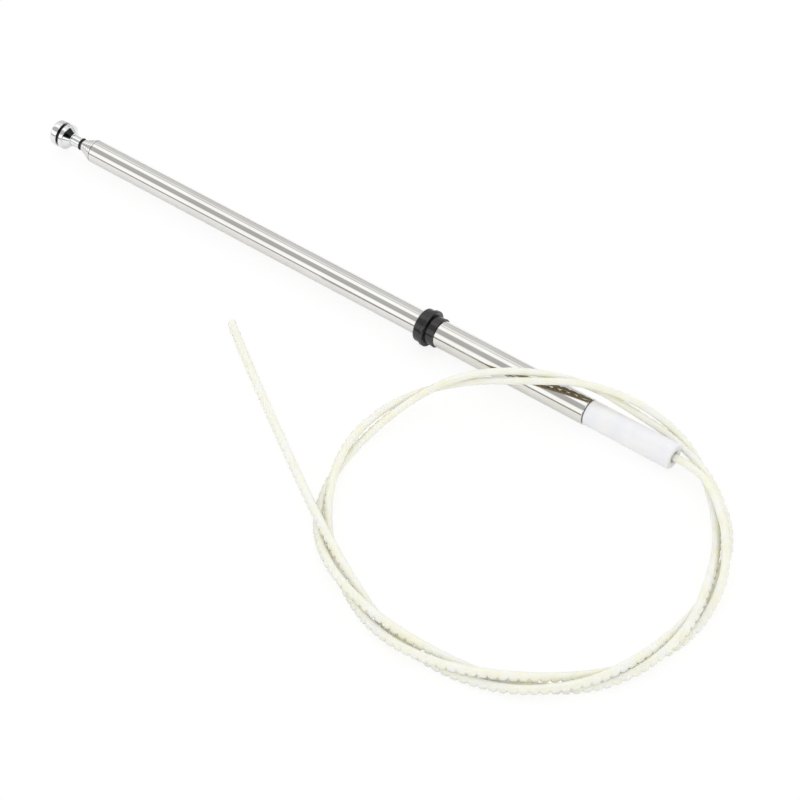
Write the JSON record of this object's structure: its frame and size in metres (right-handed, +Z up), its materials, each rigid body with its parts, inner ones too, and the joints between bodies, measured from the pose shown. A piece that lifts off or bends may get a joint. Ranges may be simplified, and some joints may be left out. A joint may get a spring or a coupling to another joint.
{
  "type": "telescopic antenna mast",
  "caption": "Telescopic car aerial mast, pushed in, with a chrome tip knob, nested sliding sections, a black guide collar and a nylon end bush feeding a toothed, loosely coiled drive cable.",
  "frame": {"origin": "on the surface that the part lies on, under the middle of the mast's length", "axes": "+X along the mast towards the tip knob, +Z up"},
  "size_m": [0.3628, 0.1499, 0.0223],
  "materials": {
    "stainless_tube": "polished stainless steel with fine lengthwise drawing marks",
    "knob_chrome": "bright chrome plating on turned brass",
    "black_rubber": "matte, slightly mottled moulded rubber",
    "black_plastic": "smooth glossy moulding",
    "bush_nylon": "milky, slightly bluish natural nylon",
    "cable_nylon": "off-white, slightly yellow toothed nylon",
    "collar_brass": "turned brass",
    "spring_bronze": "thin rolled phosphor bronze"
  },
  "bodies": {
    "mast_base": {"base_tube": "stainless_tube", "ground_sleeve": "stainless_tube", "guide_ring": "black_plastic", "buffer_ring": "black_rubber", "end_bush": "bush_nylon", "landing_cushion": "black_rubber", "cable_exit": "cable_nylon", "cable_coil": "cable_nylon", "cable_tail": "cable_nylon"},
    "fourth_section": {"section_4": "stainless_tube", "section_4_collar": "collar_brass", "section_4_spring": "spring_bronze"},
    "third_section": {"section_3": "stainless_tube", "section_3_collar": "collar_brass", "section_3_spring": "spring_bronze"},
    "second_section": {"section_2": "stainless_tube", "section_2_collar": "collar_brass", "section_2_spring": "spring_bronze"},
    "tip_section": {"tip_rod": "stainless_tube", "rod_collar": "collar_brass", "rod_spring": "spring_bronze", "rubber_washer": "black_rubber", "tip_knob": "knob_chrome", "cable_ferrule": "collar_brass", "cable_core": "cable_nylon"}
  },
  "joints": [
    {"name": "fourth_slide", "type": "slide", "parent": "mast_base", "child": "fourth_section", "axis": [1, 0, 0], "range_m": [0, 0.215]},
    {"name": "third_slide", "type": "slide", "parent": "fourth_section", "child": "third_section", "axis": [1, 0, 0], "range_m": [0, 0.215]},
    {"name": "second_slide", "type": "slide", "parent": "third_section", "child": "second_section", "axis": [1, 0, 0], "range_m": [0, 0.215]},
    {"name": "tip_slide", "type": "slide", "parent": "second_section", "child": "tip_section", "axis": [1, 0, 0], "range_m": [0, 0.215]}
  ]
}
